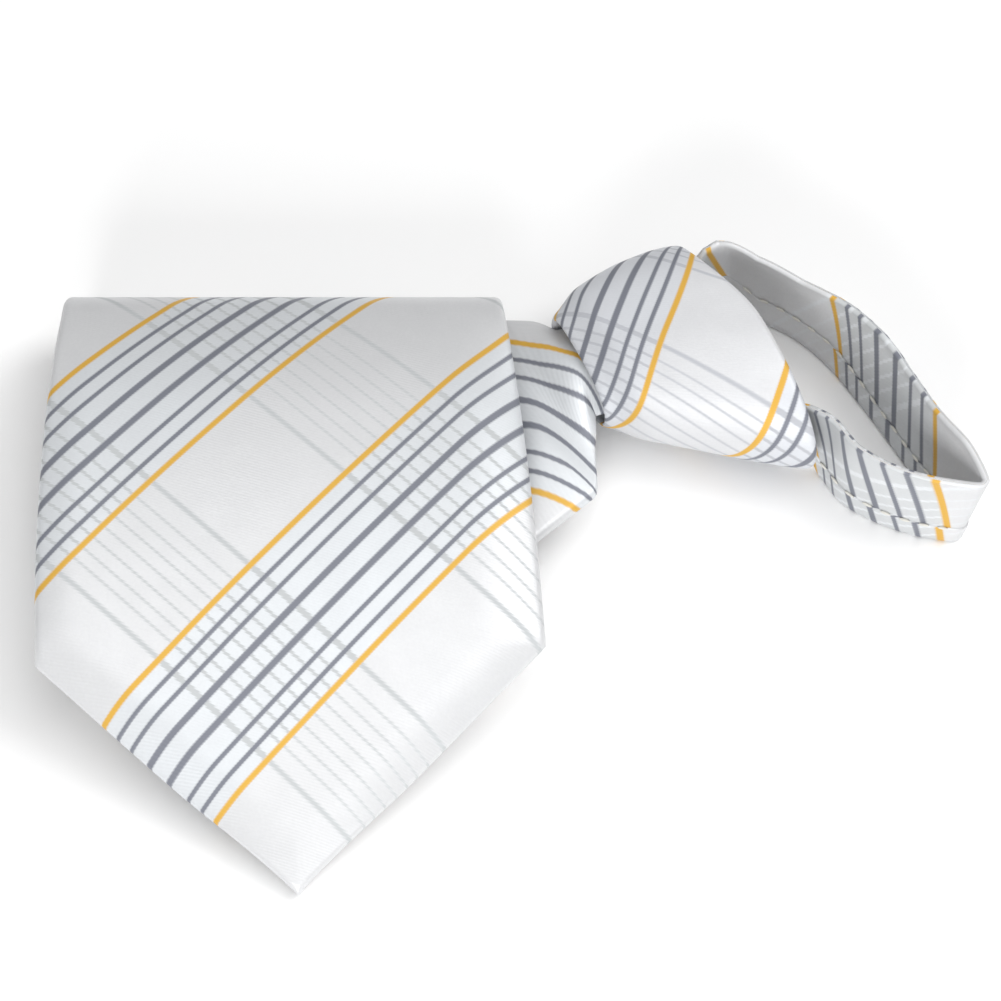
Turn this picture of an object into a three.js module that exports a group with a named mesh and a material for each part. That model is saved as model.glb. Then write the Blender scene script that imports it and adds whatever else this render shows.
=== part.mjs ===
import * as THREE from "three";

// A pre-tied zipper tie, rolled up for display and lying on its back.
// Sizes are millimetres and angles are degrees. X runs right, Y away and Z up.
// The origin is on the flat underside of the rolled blade, midway between its folds.

// The strip: a pointed blade that tapers into the neck
const BLADE_WIDTH = 88.5;
const POINT_LENGTH = 43;
const WIDTH_LOSS = 0.128; // width lost for each millimetre of length
const CLOTH = 2.6; // the strip is folded cloth over an interlining

// The roll: the top layer rises from the tip and the others lie flat inside it
const TOP_LENGTH = 112; // from the tip to the back fold
const CROWN_AIR = 7; // air between the top layer's crest and the layer below
const LAYER_GAP = 0.6;
const INNER_SETBACK = 2.5; // inner back fold in front of the outer one
const STRIP_SKEW = 2.3; // the strip lies this much across the roll
const STRIP_DRIFT = 6; // the inner layers lie this much to the right of its line
const FRONT_SETBACK = 5; // front fold behind the place where it would touch the top layer
const RIGHT_DROP = 3; // the right edge of the top layer hangs this much
const RIGHT_ROLL = 11; // width of the stretch that hangs
const LEFT_DROP = 1.2;
const LEFT_ROLL = 7;
const POINT_DROP = 3; // the two edges of the point hang this much
const POINT_ROLL = 8;

// The neck: the stretch that leaves the roll under its right edge
const NECK_HEADING = 38.4;
const NECK_LENGTH = 65.7; // from the slanted fold to the knot
const NECK_BEND = 14; // the last stretch, where it turns and gathers
const NECK_TURN = 19.9; // how far it turns there
const NECK_JOG = 3; // how far it shifts to the far side as it gathers
const GATHER_POWER = 1.8; // how late in the bend the neck gathers
const NECK_ARCH = 4; // rise of the gathered section's middle
const TUCK = 8; // what each piece hides inside the knot

// The knot: a sleeve of one turn of the strip, wide where the neck band leaves
const KNOT_HEADING = 26;
const KNOT_LENGTH = 30;
const KNOT_SWING = 12; // the wide end lies this much to the near side
const KNOT_MOUTH_WIDTH = 25;
const KNOT_TOP_WIDTH = 49;
const KNOT_TOP_HEIGHT = 26;
const KNOT_BULGE = 0.8; // the wide rim bows out
const SECTION_POWER = 3; // squareness of the knot's rounded section
const RIM_LIP = 1 / 3; // share of the cloth that each face of a rim is rounded by
const FIT = 0.4; // clearance between the pieces inside the knot
const NECK_FIT = 0.6; // clearance of the gathered neck at its two edges
const CORE_FIT = 0.8; // clearance round the knot's inner turn
const MOUTH_FIT = 0.8; // clearance over and under what lies in the knot's mouth

// The neck band: a ribbon standing on its edge, cinched to a small loop
const BAND_HEIGHT = 19.4;
const BAND_CLOTH = 2.8;
const BAND_TUCK_HEIGHT = 11; // its height inside the knot
const LOOP_HEADING = -37.6;
const LOOP_REACH = 49.2; // from the middle of the wide rim to the crease
const LOOP_SPAN = 24;
const CREASE_RADIUS = 2.2;
const CREASE_TURN = 122;

// The zipper's tail: a plain tape hidden under the neck
const ZIPPER_WIDTH = 10.5;
const ZIPPER_CLOTH = 2.6;
const ZIPPER_LENGTH = 62;

// Colours and finishes
const FINISHES = {
  satin: { color: 0xe6e7e8, roughness: 0.42, metalness: 0 },
  satinShade: { color: 0xd2d4d6, roughness: 0.5, metalness: 0 },
  tape: { color: 0xc9ccd0, roughness: 0.7, metalness: 0 },
};

// How finely the forms are faceted and solved
const STEPS = {
  point: 6,
  rise: 5,
  fall: 4,
  outerFold: 10,
  frontFold: 8,
  third: 3,
  innerFold: 8,
  fourth: 4,
  slantFold: 8,
  neckOut: 4,
  neckRun: 3,
  gather: 14,
  knotSides: 36,
  coreSides: 24,
  bandSpan: 3,
};
const HALVINGS = 50;
const EDGE_PASSES = 6;
const PROBE = 0.05; // distance over which the cloth's slopes are read

const radians = THREE.MathUtils.degToRad;
const heading = (angle) => new THREE.Vector2(Math.cos(angle), Math.sin(angle));
const smooth = (value) => THREE.MathUtils.smoothstep(value, 0, 1);

// Shares of a strip's half width at its columns, and of its thickness there
const COLUMNS = [
  { across: -1, thick: 0.35 },
  { across: -0.975, thick: 0.8 },
  { across: -0.92, thick: 1 },
  { across: -0.7, thick: 1 },
  { across: -0.45, thick: 1 },
  { across: -0.16, thick: 1 },
  { across: 0.16, thick: 1 },
  { across: 0.45, thick: 1 },
  { across: 0.7, thick: 1 },
  { across: 0.92, thick: 1 },
  { across: 0.975, thick: 0.8 },
  { across: 1, thick: 0.35 },
];

// A chain of bends: each has a length and turns evenly from one heading to another
function walk(chain, distance) {
  let { x, y } = chain.start;
  let left = distance;
  let angle = chain.bends[0].from;
  for (const [index, bend] of chain.bends.entries()) {
    const last = index === chain.bends.length - 1;
    const step = last ? left : Math.min(left, bend.length);
    const curl = (bend.to - bend.from) / bend.length;
    angle = bend.from + curl * step;
    if (Math.abs(curl) < 1e-9) {
      x += step * Math.cos(bend.from);
      y += step * Math.sin(bend.from);
    } else {
      x += (Math.sin(angle) - Math.sin(bend.from)) / curl;
      y += (Math.cos(bend.from) - Math.cos(angle)) / curl;
    }
    left -= step;
    if (left <= 0) {
      break;
    }
  }
  return { x, y, angle };
}

// A value between two ends at which a rising function reaches its goal
function solve(low, high, goal, measure) {
  for (let turn = 0; turn < HALVINGS; turn += 1) {
    const middle = (low + high) / 2;
    if (measure(middle) < goal) {
      low = middle;
    } else {
      high = middle;
    }
  }
  return (low + high) / 2;
}

// Heights of the layers' middles, from the surface up
const bottomLevel = CLOTH / 2;
const fourthLevel = bottomLevel + CLOTH + LAYER_GAP;
const slantRadius = (CLOTH + ZIPPER_CLOTH + 2 * LAYER_GAP) / 2;
const neckLevel = fourthLevel + 2 * slantRadius;
const thirdLevel = neckLevel + CLOTH + LAYER_GAP;
const crestLevel = thirdLevel + CLOTH + CROWN_AIR;
const tipLevel = bottomLevel + LAYER_GAP / 2;

// The top layer's slopes, as shares of its length and of the slope at the tip
const TOP_SLOPES = [
  { until: 0.25, slope: 0.9 },
  { until: 0.786, slope: 0 },
  { until: 1, slope: -0.79 },
];

function topBends(tipSlope) {
  let from = tipSlope;
  let at = 0;
  return TOP_SLOPES.map((row) => {
    const bend = { length: (row.until - at) * TOP_LENGTH, from, to: tipSlope * row.slope };
    from = bend.to;
    at = row.until;
    return bend;
  });
}

const tipStart = { x: 0, y: tipLevel };
const crestAt = TOP_SLOPES[1].until * TOP_LENGTH;
const tipSlope = solve(0, Math.PI / 2, crestLevel, (slope) => {
  return walk({ start: tipStart, bends: topBends(slope) }, crestAt).y;
});
const topChain = { start: tipStart, bends: topBends(tipSlope) };
const topEnd = walk(topChain, TOP_LENGTH);

// The folds: the outer back fold, the front fold and the inner back fold
const outerRadius = (topEnd.y - bottomLevel) / (1 + Math.cos(topEnd.angle));
const frontRadius = (thirdLevel - bottomLevel) / 2;
const innerRadius = (thirdLevel - fourthLevel) / 2;
const outerCentre = topEnd.x + outerRadius * Math.sin(topEnd.angle);
const innerCentre = outerCentre - INNER_SETBACK;
const frontHeight = bottomLevel + frontRadius;

// The front fold sits where the top layer has risen clear of it
const clearAt = solve(0, crestAt, frontRadius + CLOTH + LAYER_GAP, (along) => {
  const point = walk(topChain, along);
  return (point.y - frontHeight) * Math.cos(point.angle);
});
const frontCentre = walk(topChain, clearAt).x + FRONT_SETBACK;

const rollBends = [
  ...topChain.bends,
  { length: outerRadius * (Math.PI + topEnd.angle), from: topEnd.angle, to: -Math.PI },
  { length: outerCentre - frontCentre, from: -Math.PI, to: -Math.PI },
  { length: frontRadius * Math.PI, from: -Math.PI, to: -2 * Math.PI },
  { length: innerCentre - frontCentre, from: -2 * Math.PI, to: -2 * Math.PI },
  { length: innerRadius * Math.PI, from: -2 * Math.PI, to: -3 * Math.PI },
  { length: innerCentre - frontCentre, from: -3 * Math.PI, to: -3 * Math.PI },
];
const rollChain = { start: tipStart, bends: rollBends };

// Distance along the strip at which each bend of the roll ends
const bendEnds = [];
for (const bend of rollBends) {
  bendEnds.push((bendEnds.at(-1) ?? 0) + bend.length);
}
const [, , topStop, outerStop, bottomStop, frontStop, thirdStop, innerStop] = bendEnds;

const skew = radians(STRIP_SKEW);
const slope = Math.tan(skew);

// Half the strip's width behind the point, and half the width of the point's own wedge
function taperWidth(along) {
  return BLADE_WIDTH / 2 - ((along - POINT_LENGTH) * WIDTH_LOSS) / 2;
}

function pointWidth(along) {
  return (BLADE_WIDTH / 2) * (along / POINT_LENGTH);
}

function halfWidth(along) {
  return along < POINT_LENGTH ? pointWidth(along) : taperWidth(along);
}

// The slanted fold turns the fourth layer's strip towards the knot
const neckAngle = radians(NECK_HEADING);
const layerAngle = -Math.PI / 2 - skew;
const slantAngle = (neckAngle + layerAngle) / 2;
const slantLine = heading(slantAngle);
const slantNormal = new THREE.Vector2(slantLine.y, -slantLine.x);
const slantReach = halfWidth(innerStop) * Math.abs(Math.tan(slantAngle)) + LAYER_GAP;
const slantAlong = (innerStop + innerCentre - frontCentre - slantReach) / Math.cos(skew);
const slantPoint = new THREE.Vector2(STRIP_DRIFT - slantAlong * Math.sin(skew), frontCentre + slantReach);
const layerHeading = heading(layerAngle);
const slantLength = (Math.PI * slantRadius) / layerHeading.dot(slantNormal);
const neckStart = slantAlong + slantLength;
const neckOrigin = slantPoint.clone().addScaledVector(slantLine, layerHeading.dot(slantLine) * slantLength);

// The neck's middle line runs straight and then turns as it gathers
const straight = NECK_LENGTH - NECK_BEND;
const neckChain = {
  start: neckOrigin,
  bends: [
    { length: straight, from: neckAngle, to: neckAngle },
    { length: NECK_BEND, from: neckAngle, to: neckAngle - radians(NECK_TURN) },
    { length: TUCK, from: neckAngle - radians(NECK_TURN), to: neckAngle - radians(NECK_TURN) },
  ],
};

// The roll's own plan is shifted so that the bottom layer's middle is the origin
const bottomMiddle = (outerStop + bottomStop) / 2;
const origin = new THREE.Vector2(
  -(bottomMiddle / Math.cos(skew)) * Math.sin(skew),
  (outerCentre + frontCentre) / 2,
);

// The knot's hollow holds the gathered neck and the zipper's tail
const mouthHollow = KNOT_MOUTH_WIDTH / 2 - CLOTH;
const gatheredHalf = mouthHollow - NECK_FIT;
const zipperLevel = (fourthLevel + neckLevel) / 2;
const mouthLow = zipperLevel - ZIPPER_CLOTH / 2;
const mouthHigh = neckLevel + NECK_ARCH + CLOTH / 2;
const mouthLevel = (mouthLow + mouthHigh) / 2;
const mouthHeight = mouthHigh - mouthLow + 2 * (MOUTH_FIT + CLOTH);

// How far the top layer's edges hang: its two sides, and the two edges of its point
function hang(along, across) {
  const wide = Math.abs(across);
  const [sideDrop, sideRoll] = across > 0 ? [RIGHT_DROP, RIGHT_ROLL] : [LEFT_DROP, LEFT_ROLL];
  const square = Math.cos(Math.atan2(BLADE_WIDTH / 2, POINT_LENGTH));
  const sideOver = Math.max(0, 1 - (taperWidth(along) - wide) / sideRoll);
  const pointOver = Math.max(0, 1 - ((pointWidth(along) - wide) * square) / POINT_ROLL);
  const rise = smooth(along / POINT_LENGTH);
  const fall = smooth((topStop - along) / (topStop - crestAt));
  const sideHang = sideDrop * sideOver * sideOver * rise * fall;
  return Math.max(sideHang, POINT_DROP * pointOver * pointOver * smooth(along / (POINT_LENGTH / 2)));
}

// The strip drifts to the right as it runs from the back fold to the front fold
function drift(round) {
  return STRIP_DRIFT * smooth((round - topStop) / (bottomStop - topStop));
}

// How far the neck has gathered, from 0 where it runs straight to 1 in the knot
function gatherShare(along) {
  return smooth((along - straight) / NECK_BEND) ** GATHER_POWER;
}

// Middle surface of the neck, gathered to the width of the knot's hollow
function neckPoint(along, across) {
  const line = walk(neckChain, along);
  const gather = gatherShare(along);
  const wide = halfWidth(neckStart + along);
  const narrow = THREE.MathUtils.lerp(1, gatheredHalf / wide, gather);
  const side = heading(line.angle - Math.PI / 2);
  const share = across / wide;
  const offset = across * narrow - NECK_JOG * gather;
  const arch = NECK_ARCH * gather * Math.max(0, 1 - share * share);
  return new THREE.Vector3(line.x + side.x * offset, line.y + side.y * offset, neckLevel + arch);
}

// Middle surface of the whole strip: along it from the tip, and across it
function stripPoint(along, across) {
  const round = across * Math.sin(skew) + along * Math.cos(skew);
  const side = across * Math.cos(skew) - along * Math.sin(skew) + drift(round);
  const place = walk(rollChain, round);
  const point = new THREE.Vector3(side, place.x, place.y);
  if (round < topStop) {
    point.z -= hang(along, across);
  }
  if (round > innerStop) {
    const flat = new THREE.Vector2(side, place.x).sub(slantPoint);
    const ahead = flat.dot(slantNormal);
    const beside = flat.dot(slantLine);
    if (ahead > Math.PI * slantRadius) {
      point.copy(neckPoint(along - neckStart, across));
    } else if (ahead > 0) {
      const turn = ahead / slantRadius;
      const reach = slantRadius * Math.sin(turn);
      point.x = slantPoint.x + beside * slantLine.x + reach * slantNormal.x;
      point.y = slantPoint.y + beside * slantLine.y + reach * slantNormal.y;
      point.z = fourthLevel + slantRadius * (1 - Math.cos(turn));
    }
  }
  point.x -= origin.x;
  point.y -= origin.y;
  return point;
}

// The bottom layer's only inner row, as a share of its length, clear of the origin
const REST_ROW = 0.4;

// A closed mesh from corner positions and faces given as corner numbers
function closedMesh(name, corners, faces, finish) {
  const geometry = new THREE.BufferGeometry();
  geometry.setAttribute("position", new THREE.Float32BufferAttribute(corners.flatMap((p) => p.toArray()), 3));
  const whole = faces.filter(([a, b, c]) => a !== b && b !== c && c !== a);
  geometry.setIndex(whole.flat());
  geometry.computeVertexNormals();
  const mesh = new THREE.Mesh(geometry, new THREE.MeshStandardMaterial(finish));
  mesh.name = name;
  return mesh;
}

// A solid ring of rings: every ring has as many corners as the next one
function loft(name, rings, closed, finish) {
  const corners = rings.flat();
  const sides = rings[0].length;
  const faces = [];
  const count = closed ? rings.length : rings.length - 1;
  for (let ring = 0; ring < count; ring += 1) {
    const next = (ring + 1) % rings.length;
    for (let side = 0; side < sides; side += 1) {
      const beside = (side + 1) % sides;
      const a = ring * sides + side;
      const b = ring * sides + beside;
      const c = next * sides + beside;
      const d = next * sides + side;
      faces.push([a, b, c], [a, c, d]);
    }
  }
  if (!closed) {
    for (let side = 1; side < sides - 1; side += 1) {
      faces.push([0, side + 1, side]);
      const end = (rings.length - 1) * sides;
      faces.push([end, end + side, end + side + 1]);
    }
  }
  return closedMesh(name, corners, faces, finish);
}

// Rows of the strip: where each crosses the middle line, and how it slants
function stripRows() {
  const rows = [];
  const add = (from, to, count, slantFrom, slantTo) => {
    for (let step = 1; step <= count; step += 1) {
      const share = step / count;
      rows.push({
        along: THREE.MathUtils.lerp(from, to, share),
        slant: THREE.MathUtils.lerp(slantFrom, slantTo, share),
      });
    }
  };
  const onStrip = (round) => round / Math.cos(skew);
  const foldSlant = -Math.tan(slantAngle + skew);
  const neckStop = neckStart + NECK_LENGTH + TUCK;
  const loose = neckStart + straight / 2;
  add(0, POINT_LENGTH, STEPS.point, 0, 0);
  add(POINT_LENGTH, onStrip(crestAt), STEPS.rise, 0, -slope);
  add(onStrip(crestAt), onStrip(topStop), STEPS.fall, -slope, -slope);
  add(onStrip(topStop), onStrip(outerStop), STEPS.outerFold, -slope, -slope);
  const restStop = THREE.MathUtils.lerp(outerStop, bottomStop, REST_ROW);
  add(onStrip(outerStop), onStrip(restStop), 1, -slope, -slope);
  add(onStrip(restStop), onStrip(bottomStop), 1, -slope, -slope);
  add(onStrip(bottomStop), onStrip(frontStop), STEPS.frontFold, -slope, -slope);
  add(onStrip(frontStop), onStrip(thirdStop), STEPS.third, -slope, -slope);
  add(onStrip(thirdStop), onStrip(innerStop), STEPS.innerFold, -slope, -slope);
  add(onStrip(innerStop), slantAlong, STEPS.fourth, -slope, foldSlant);
  add(slantAlong, neckStart, STEPS.slantFold, foldSlant, foldSlant);
  add(neckStart, loose, STEPS.neckOut, foldSlant, 0);
  add(loose, neckStart + straight, STEPS.neckRun, 0, 0);
  add(neckStart + straight, neckStop, STEPS.gather, 0, 0);
  return rows;
}

// The strip's edge on a slanted row
function edgeAcross(row, side) {
  let across = 0;
  for (let turn = 0; turn < EDGE_PASSES; turn += 1) {
    across = side * halfWidth(row.along + row.slant * across);
  }
  return across;
}

function skin(along, across, thick) {
  const middle = stripPoint(along, across);
  const ahead = stripPoint(along + PROBE, across).sub(stripPoint(along - PROBE, across));
  const beside = stripPoint(along, across + PROBE).sub(stripPoint(along, across - PROBE));
  const normal = beside.cross(ahead).normalize();
  const offset = (CLOTH / 2) * thick;
  return [middle.clone().addScaledVector(normal, offset), middle.clone().addScaledVector(normal, -offset)];
}

// Sub-part: the front blade, with its roll and its neck
function frontBlade() {
  const rings = stripRows().map((row) => {
    const upper = [];
    const lower = [];
    for (const column of COLUMNS) {
      const across = Math.abs(column.across) * edgeAcross(row, Math.sign(column.across));
      const [top, bottom] = skin(row.along + row.slant * across, across, column.thick);
      upper.push(top);
      lower.unshift(bottom);
    }
    return [...upper, ...lower];
  });
  const [top, bottom] = skin(0, 0, COLUMNS[0].thick);
  const apex = COLUMNS.map(() => top.clone());
  const under = COLUMNS.map(() => bottom.clone());
  return loft("front_blade", [[...apex, ...under], ...rings], false, FINISHES.satin);
}

// The knot's frame: its axis, the near side across it, and its mouth
const knotAxis = heading(radians(KNOT_HEADING));
const knotSide = heading(radians(KNOT_HEADING) - Math.PI / 2);
const mouthLine = walk(neckChain, NECK_LENGTH);
const mouthPlace = new THREE.Vector2(mouthLine.x, mouthLine.y)
  .sub(origin)
  .addScaledVector(heading(mouthLine.angle - Math.PI / 2), -NECK_JOG);
const knotTop = mouthPlace
  .clone()
  .addScaledVector(knotAxis, KNOT_LENGTH)
  .addScaledVector(knotSide, KNOT_SWING);

// The knot's sections from mouth to rim, as shares of the change between its two ends
const KNOT_SECTIONS = [
  { at: 0, wide: 0, tall: 0, swing: 0 },
  { at: 0.08, wide: 0.09, tall: 0.16, swing: 0.05 },
  { at: 0.25, wide: 0.31, tall: 0.46, swing: 0.19 },
  { at: 0.45, wide: 0.54, tall: 0.72, swing: 0.38 },
  { at: 0.7, wide: 0.79, tall: 0.93, swing: 0.66 },
  { at: 0.9, wide: 0.95, tall: 1, swing: 0.89 },
  { at: 1, wide: 1, tall: 0.99, swing: 1 },
];

function knotSection(at) {
  const next = Math.max(1, KNOT_SECTIONS.findIndex((row) => row.at >= at));
  const [low, high] = [KNOT_SECTIONS[next - 1], KNOT_SECTIONS[next]];
  const share = (at - low.at) / (high.at - low.at);
  const wide = THREE.MathUtils.lerp(low.wide, high.wide, share);
  const tall = THREE.MathUtils.lerp(low.tall, high.tall, share);
  const swing = THREE.MathUtils.lerp(low.swing, high.swing, share);
  const height = THREE.MathUtils.lerp(mouthHeight, KNOT_TOP_HEIGHT, tall);
  return {
    at,
    halfWide: THREE.MathUtils.lerp(KNOT_MOUTH_WIDTH, KNOT_TOP_WIDTH, wide) / 2,
    halfTall: height / 2,
    level: THREE.MathUtils.lerp(mouthLevel, KNOT_TOP_HEIGHT / 2, tall),
    bulge: KNOT_BULGE * at * at,
    swing: KNOT_SWING * swing,
  };
}

// A closed round section of the knot, drawn in from its outside by an inset
function knotRing(section, inset, sides) {
  const ring = [];
  for (let side = 0; side < sides; side += 1) {
    const angle = (2 * Math.PI * side) / sides;
    const round = (value) => Math.sign(value) * Math.abs(value) ** (2 / SECTION_POWER);
    const across = (section.halfWide - inset) * round(Math.cos(angle));
    const up = (section.halfTall - inset) * round(Math.sin(angle));
    const share = across / section.halfWide;
    const ahead = section.at * KNOT_LENGTH + section.bulge * (1 - share * share);
    const beside = across + section.swing;
    const place = mouthPlace.clone().addScaledVector(knotAxis, ahead).addScaledVector(knotSide, beside);
    ring.push(new THREE.Vector3(place.x, place.y, section.level + up));
  }
  return ring;
}

// Sub-part: the knot's wrap, an open sleeve with rounded rims
function knotWrap() {
  const lip = CLOTH * RIM_LIP;
  const sections = KNOT_SECTIONS.map((row) => knotSection(row.at));
  const outside = sections.map((section, index) => {
    const rim = index === 0 || index === sections.length - 1;
    return knotRing(section, rim ? lip : 0, STEPS.knotSides);
  });
  const inside = sections.map((section, index) => {
    const rim = index === 0 || index === sections.length - 1;
    return knotRing(section, rim ? CLOTH - lip : CLOTH, STEPS.knotSides);
  });
  return loft("knot_wrap", [...inside, ...outside.reverse()], true, FINISHES.satin);
}

// Where the band's limbs lie in the knot: shares of the tuck ahead of its wide
// end, and of the hollow's half width there
const FAR_ROOT = [
  { ahead: -1.15, across: -0.89, tuck: 1 },
  { ahead: -0.5, across: -0.89, tuck: 1 },
  { ahead: 0.15, across: -0.9, tuck: 1 },
  { ahead: 0.5, across: -0.91, tuck: 0.85 },
];
const NEAR_ROOT = [
  { ahead: 0.5, across: 1.02, tuck: 0 },
  { ahead: 0.3, across: 0.82, tuck: 0.7 },
  { ahead: -0.1, across: 0.68, tuck: 1 },
  { ahead: -0.5, across: 0.62, tuck: 1 },
  { ahead: -1.15, across: 0.6, tuck: 1 },
];

// Half the width that the middle of a limb can use in a section of the knot
function rootReach(section) {
  return section.halfWide - CLOTH - FIT - BAND_CLOTH / 2;
}

// Sub-part: the knot's inner turn, between the band's limbs
const CORE_SECTIONS = [
  { at: 0.4, wide: 0.5, tall: 0.6 },
  { at: 0.46, wide: 0.85, tall: 0.95 },
  { at: 0.7, wide: 1, tall: 1 },
  { at: 0.9, wide: 1, tall: 1 },
  { at: 0.97, wide: 0.88, tall: 0.7 },
];

function knotCore() {
  const rings = CORE_SECTIONS.map((row) => {
    const section = knotSection(row.at);
    const far = FAR_ROOT[0].across * rootReach(section) + BAND_CLOTH / 2 + CORE_FIT;
    const near = NEAR_ROOT.at(-1).across * rootReach(section) - BAND_CLOTH / 2 - CORE_FIT;
    const halfTall = row.tall * (section.halfTall - CLOTH - CORE_FIT);
    const shaped = { ...section, halfWide: (row.wide * (near - far)) / 2, halfTall, bulge: 0 };
    const shift = knotSide.clone().multiplyScalar((near + far) / 2);
    const ring = knotRing(shaped, 0, STEPS.coreSides);
    return ring.map((corner) => corner.add(new THREE.Vector3(shift.x, shift.y, 0)));
  });
  return loft("knot_core", rings.reverse(), false, FINISHES.satinShade);
}

// The band's limbs outside the knot, as shares of the loop's reach and span
const FAR_LIMB = [
  { out: -0.2, side: 0.61 },
  { out: -0.05, side: 0.67 },
  { out: 0.12, side: 0.635 },
  { out: 0.38, side: 0.47 },
  { out: 0.64, side: 0.275 },
  { out: 0.86, side: 0.145 },
];
const NEAR_LIMB = [
  { out: 0.88, side: -0.115 },
  { out: 0.8, side: -0.19 },
  { out: 0.68, side: -0.262 },
  { out: 0.54, side: -0.29 },
];

// Places round the crease, as shares of its turn
const CREASE_SHARES = [0.5, 0.25, 0, -0.25, -0.5];

// The band's middle line in plan, with how far it is tucked as its third number
function bandPath() {
  const out = heading(radians(LOOP_HEADING));
  const side = heading(radians(LOOP_HEADING) + Math.PI / 2);
  const fromKnot = (row) => {
    const at = 1 + (row.ahead * TUCK) / KNOT_LENGTH;
    const section = knotSection(Math.min(1, at));
    const beside = section.swing + row.across * rootReach(section);
    const place = mouthPlace
      .clone()
      .addScaledVector(knotAxis, at * KNOT_LENGTH)
      .addScaledVector(knotSide, beside);
    return new THREE.Vector3(place.x, place.y, row.tuck);
  };
  const fromLoop = (ahead, beside) => {
    const place = knotTop.clone().addScaledVector(out, ahead).addScaledVector(side, beside);
    return new THREE.Vector3(place.x, place.y, 0);
  };
  const onLimb = (row) => fromLoop(row.out * LOOP_REACH, row.side * LOOP_SPAN);
  const creaseOut = LOOP_REACH - BAND_CLOTH / 2 - CREASE_RADIUS;
  const crease = CREASE_SHARES.map((share) => {
    const spoke = heading(radians(share * CREASE_TURN));
    return fromLoop(creaseOut + CREASE_RADIUS * spoke.x, CREASE_RADIUS * spoke.y);
  });
  const points = [
    ...FAR_ROOT.map(fromKnot),
    ...FAR_LIMB.map(onLimb),
    ...crease,
    ...NEAR_LIMB.map(onLimb),
    ...NEAR_ROOT.map(fromKnot),
  ];
  const curve = new THREE.CatmullRomCurve3(points, false, "centripetal");
  return curve.getPoints((points.length - 1) * STEPS.bandSpan);
}

// Section of the ribbon as shares of its thickness and height
const RIBBON_SECTION = [
  { thick: -0.5, tall: -0.44 },
  { thick: -0.22, tall: -0.5 },
  { thick: 0.22, tall: -0.5 },
  { thick: 0.5, tall: -0.44 },
  { thick: 0.5, tall: 0 },
  { thick: 0.5, tall: 0.44 },
  { thick: 0.22, tall: 0.5 },
  { thick: -0.22, tall: 0.5 },
  { thick: -0.5, tall: 0.44 },
  { thick: -0.5, tall: 0 },
];

// Sub-part: the neck band
function neckBand() {
  const path = bandPath().map((point) => ({ place: new THREE.Vector2(point.x, point.y), tuck: point.z }));
  const standing = BAND_HEIGHT / 2;
  const rings = path.map((stop, index) => {
    const before = path[Math.max(0, index - 1)].place;
    const after = path[Math.min(path.length - 1, index + 1)].place;
    const along = after.clone().sub(before).normalize();
    const across = new THREE.Vector2(along.y, -along.x);
    const tuck = THREE.MathUtils.clamp(stop.tuck, 0, 1);
    const height = THREE.MathUtils.lerp(BAND_HEIGHT, BAND_TUCK_HEIGHT, tuck);
    const level = THREE.MathUtils.lerp(standing, KNOT_TOP_HEIGHT / 2, tuck);
    return RIBBON_SECTION.map((row) => {
      const place = stop.place.clone().addScaledVector(across, row.thick * BAND_CLOTH);
      return new THREE.Vector3(place.x, place.y, level + row.tall * height);
    });
  });
  return loft("neck_band", rings.reverse(), false, FINISHES.satinShade);
}

// Rows of the zipper's tail, as shares of its length and width
const ZIPPER_ROWS = [
  { share: 0, wide: 1 },
  { share: 0.2, wide: 1 },
  { share: 0.4, wide: 1 },
  { share: 0.55, wide: 1 },
  { share: 0.65, wide: 1 },
  { share: 0.75, wide: 1 },
  { share: 0.85, wide: 1 },
  { share: 0.95, wide: 1 },
  { share: 1, wide: 0.7 },
];

// Sub-part: the zipper's tail, which follows the neck from inside the knot
function zipperTail() {
  const rings = ZIPPER_ROWS.map(({ share, wide }) => {
    const along = NECK_LENGTH + TUCK - share * ZIPPER_LENGTH;
    const line = walk(neckChain, along);
    const side = heading(line.angle - Math.PI / 2);
    const jog = NECK_JOG * gatherShare(along);
    const half = (ZIPPER_WIDTH / 2) * wide;
    const corner = (across, up) => {
      const place = new THREE.Vector2(line.x, line.y).sub(origin).addScaledVector(side, across * half - jog);
      return new THREE.Vector3(place.x, place.y, zipperLevel + (up * ZIPPER_CLOTH) / 2);
    };
    return [corner(-1, -1), corner(-1, 1), corner(1, 1), corner(1, -1)];
  });
  return loft("zipper_tail", rings.reverse(), false, FINISHES.tape);
}

const tie = new THREE.Group();
tie.add(frontBlade(), knotWrap(), knotCore(), neckBand(), zipperTail());

export default tie;
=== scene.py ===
import math

import bmesh
import bpy
import numpy as np
from mathutils import Matrix, Vector


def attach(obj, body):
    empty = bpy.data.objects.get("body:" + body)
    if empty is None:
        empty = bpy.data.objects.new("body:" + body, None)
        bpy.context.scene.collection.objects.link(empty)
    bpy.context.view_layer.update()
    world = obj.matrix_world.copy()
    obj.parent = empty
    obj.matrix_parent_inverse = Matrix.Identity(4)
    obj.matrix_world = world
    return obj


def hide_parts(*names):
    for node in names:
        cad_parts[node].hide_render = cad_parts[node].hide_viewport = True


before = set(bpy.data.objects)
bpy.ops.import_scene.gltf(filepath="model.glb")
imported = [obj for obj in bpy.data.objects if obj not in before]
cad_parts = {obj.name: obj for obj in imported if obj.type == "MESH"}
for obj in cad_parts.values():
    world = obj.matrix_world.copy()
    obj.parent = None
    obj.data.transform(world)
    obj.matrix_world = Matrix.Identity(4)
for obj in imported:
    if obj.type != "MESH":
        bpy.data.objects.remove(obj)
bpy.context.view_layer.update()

# A pre-tied zipper tie, rolled up for display and lying on its back.
# Forms are worked out in millimetres and angles in radians, and made in metres.
MM = 0.001
PI = math.pi

# The strip: a pointed blade that tapers into the neck
BLADE_WIDTH = 88.5
POINT_LENGTH = 43
WIDTH_LOSS = 0.128
CLOTH = 2.6

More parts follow.
